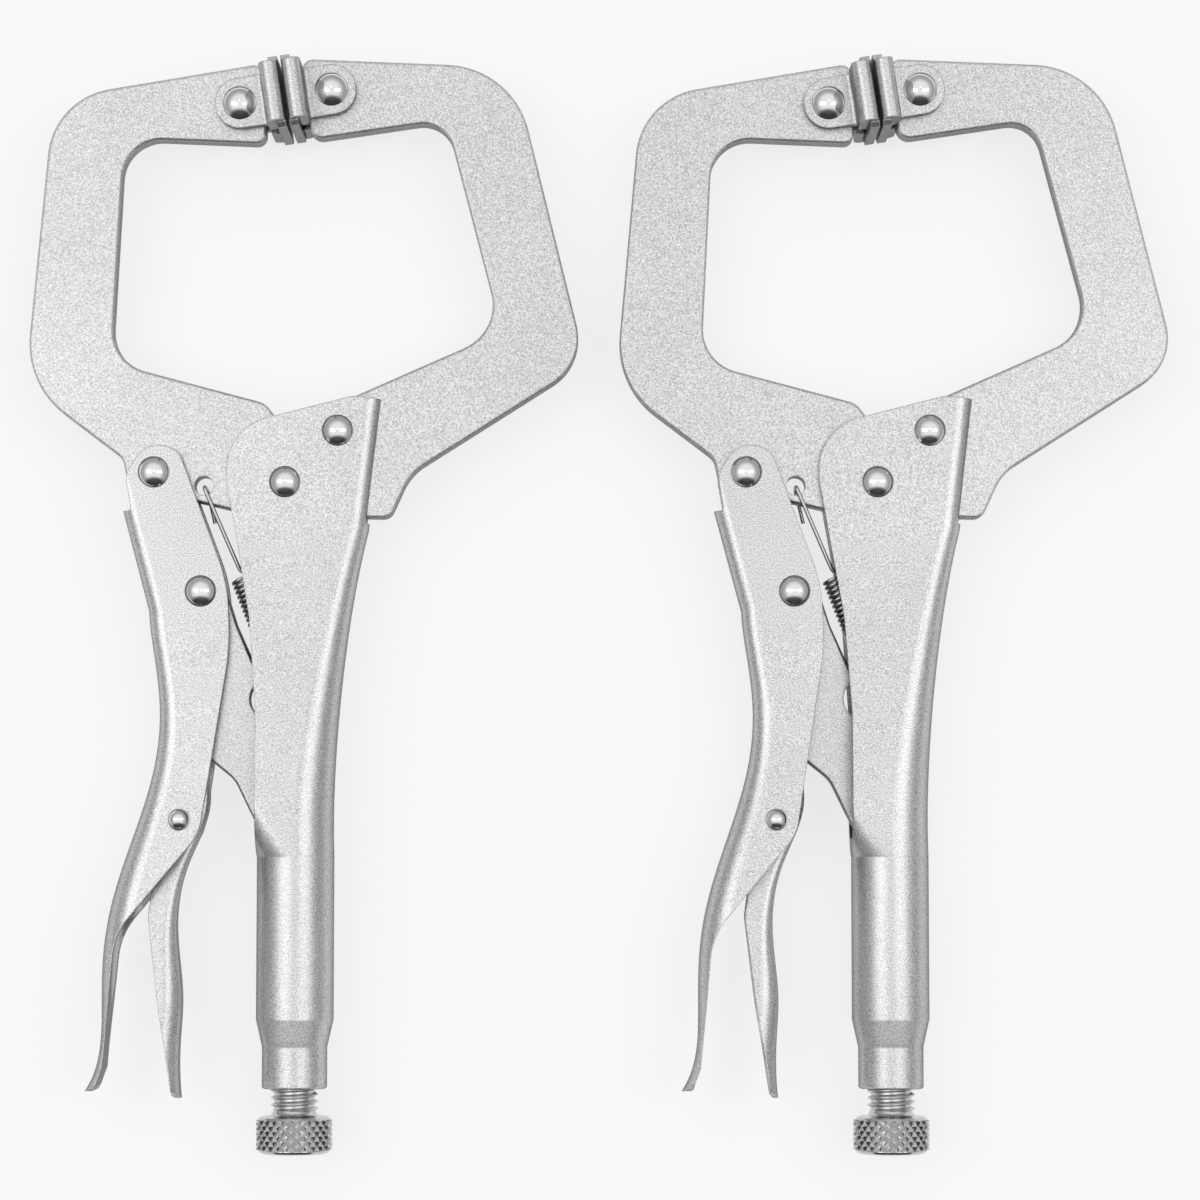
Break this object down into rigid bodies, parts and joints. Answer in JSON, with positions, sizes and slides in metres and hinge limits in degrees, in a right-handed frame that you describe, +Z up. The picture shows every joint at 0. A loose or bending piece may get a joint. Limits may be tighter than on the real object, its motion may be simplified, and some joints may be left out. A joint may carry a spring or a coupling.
{
  "type": "pair of locking c-clamps",
  "caption": "Pair of locking c-clamps with swivel pads, toggle lever handles, release levers and knurled adjusting screws, lying side by side.",
  "frame": {"origin": "middle of the pair's box, on the surface that the clamps lie on", "axes": "+X across the pair to the right clamp, +Y from the knobs to the jaws, +Z up"},
  "size_m": [0.2876, 0.2758, 0.03],
  "materials": {
    "handle_nickel": "satin nickel plate over blasted sheet steel",
    "jaw_nickel": "satin nickel plate over blasted steel plate",
    "pad_nickel": "satin nickel plate over folded strip",
    "polished_rivet": "polished nickel",
    "bright_screw": "bright nickel, knurled and threaded",
    "spring_wire": "bright drawn wire"
  },
  "bodies": {
    "left_frame": {"left_fixed_handle": "handle_nickel", "left_fixed_jaw": "jaw_nickel", "left_fixed_jaw_rivet": "polished_rivet", "left_jaw_pivot_rivet": "polished_rivet"},
    "left_jaw": {"left_moving_jaw": "jaw_nickel", "left_tension_spring": "spring_wire"},
    "left_lever": {"left_lever_handle": "handle_nickel", "left_lever_rivet": "polished_rivet", "left_link_rivet": "polished_rivet", "left_release_rivet": "polished_rivet"},
    "left_link": {"left_toggle_link": "jaw_nickel"},
    "left_release": {"left_release_lever": "handle_nickel"},
    "left_screw": {"left_adjusting_screw": "bright_screw"},
    "left_moving_pad_clip": {"left_moving_pad": "pad_nickel", "left_moving_pad_rivet": "polished_rivet"},
    "left_fixed_pad_clip": {"left_fixed_pad": "pad_nickel", "left_fixed_pad_rivet": "polished_rivet"},
    "right_frame": {"right_fixed_handle": "handle_nickel", "right_fixed_jaw": "jaw_nickel", "right_fixed_jaw_rivet": "polished_rivet", "right_jaw_pivot_rivet": "polished_rivet"},
    "right_jaw": {"right_moving_jaw": "jaw_nickel", "right_tension_spring": "spring_wire"},
    "right_lever": {"right_lever_handle": "handle_nickel", "right_lever_rivet": "polished_rivet", "right_link_rivet": "polished_rivet", "right_release_rivet": "polished_rivet"},
    "right_link": {"right_toggle_link": "jaw_nickel"},
    "right_release": {"right_release_lever": "handle_nickel"},
    "right_screw": {"right_adjusting_screw": "bright_screw"},
    "right_moving_pad_clip": {"right_moving_pad": "pad_nickel", "right_moving_pad_rivet": "polished_rivet"},
    "right_fixed_pad_clip": {"right_fixed_pad": "pad_nickel", "right_fixed_pad_rivet": "polished_rivet"}
  },
  "joints": [
    {"name": "left_jaw_opening", "type": "hinge", "parent": "left_frame", "child": "left_jaw", "pos_m": [-0.07892, 0.02992, 0.015], "axis": [0, 0, 1], "range_deg": [0, 16], "deforming": ["left_tension_spring"]},
    {"name": "left_lever_fold", "type": "hinge", "parent": "left_jaw", "child": "left_lever", "pos_m": [-0.11192, 0.03242, 0.015], "axis": [0, 0, 1], "range_deg": [-60.8, 0]},
    {"name": "left_link_fold", "type": "hinge", "parent": "left_lever", "child": "left_link", "pos_m": [-0.09992, 0.00242, 0.015], "axis": [0, 0, 1], "range_deg": [0, 68.8]},
    {"name": "left_release_squeeze", "type": "hinge", "parent": "left_lever", "child": "left_release", "pos_m": [-0.10472, -0.05488, 0.015], "axis": [0, 0, 1], "range_deg": [-8, 0]},
    {"name": "left_screw_turn", "type": "hinge", "parent": "left_frame", "child": "left_screw", "pos_m": [-0.07602, -0.13008, 0.015], "axis": [0, 1, 0], "continuous": true},
    {"name": "left_moving_pad_swivel", "type": "hinge", "parent": "left_jaw", "child": "left_moving_pad_clip", "pos_m": [-0.09087, 0.12617, 0.015], "axis": [0, 0, 1], "range_deg": [-12, 12]},
    {"name": "left_fixed_pad_swivel", "type": "hinge", "parent": "left_frame", "child": "left_fixed_pad_clip", "pos_m": [-0.06767, 0.12968, 0.015], "axis": [0, 0, 1], "range_deg": [-12, 12]},
    {"name": "right_jaw_opening", "type": "hinge", "parent": "right_frame", "child": "right_jaw", "pos_m": [0.07008, 0.02992, 0.015], "axis": [0, 0, 1], "range_deg": [0, 16], "deforming": ["right_tension_spring"]},
    {"name": "right_lever_fold", "type": "hinge", "parent": "right_jaw", "child": "right_lever", "pos_m": [0.03708, 0.03242, 0.015], "axis": [0, 0, 1], "range_deg": [-60.8, 0]},
    {"name": "right_link_fold", "type": "hinge", "parent": "right_lever", "child": "right_link", "pos_m": [0.04908, 0.00242, 0.015], "axis": [0, 0, 1], "range_deg": [0, 68.8]},
    {"name": "right_release_squeeze", "type": "hinge", "parent": "right_lever", "child": "right_release", "pos_m": [0.04428, -0.05488, 0.015], "axis": [0, 0, 1], "range_deg": [-8, 0]},
    {"name": "right_screw_turn", "type": "hinge", "parent": "right_frame", "child": "right_screw", "pos_m": [0.07298, -0.13008, 0.015], "axis": [0, 1, 0], "continuous": true},
    {"name": "right_moving_pad_swivel", "type": "hinge", "parent": "right_jaw", "child": "right_moving_pad_clip", "pos_m": [0.05813, 0.12617, 0.015], "axis": [0, 0, 1], "range_deg": [-12, 12]},
    {"name": "right_fixed_pad_swivel", "type": "hinge", "parent": "right_frame", "child": "right_fixed_pad_clip", "pos_m": [0.08133, 0.12968, 0.015], "axis": [0, 0, 1], "range_deg": [-12, 12]},
    {"name": "pair_set_apart", "type": "slide", "parent": "left_frame", "child": "right_frame", "axis": [1, 0, 0], "range_m": [0, 0.042]}
  ],
  "couplings": [
    {"joint": "left_lever_fold", "follows": "left_jaw_opening", "ratio": -3.8},
    {"joint": "left_link_fold", "follows": "left_jaw_opening", "ratio": 4.3},
    {"joint": "left_fixed_pad_swivel", "follows": "left_moving_pad_swivel", "ratio": 1},
    {"joint": "right_lever_fold", "follows": "right_jaw_opening", "ratio": -3.8},
    {"joint": "right_link_fold", "follows": "right_jaw_opening", "ratio": 4.3},
    {"joint": "right_fixed_pad_swivel", "follows": "right_moving_pad_swivel", "ratio": 1},
    {"joint": "pair_set_apart", "follows": "right_jaw_opening", "m_per_rad": 0.15}
  ]
}
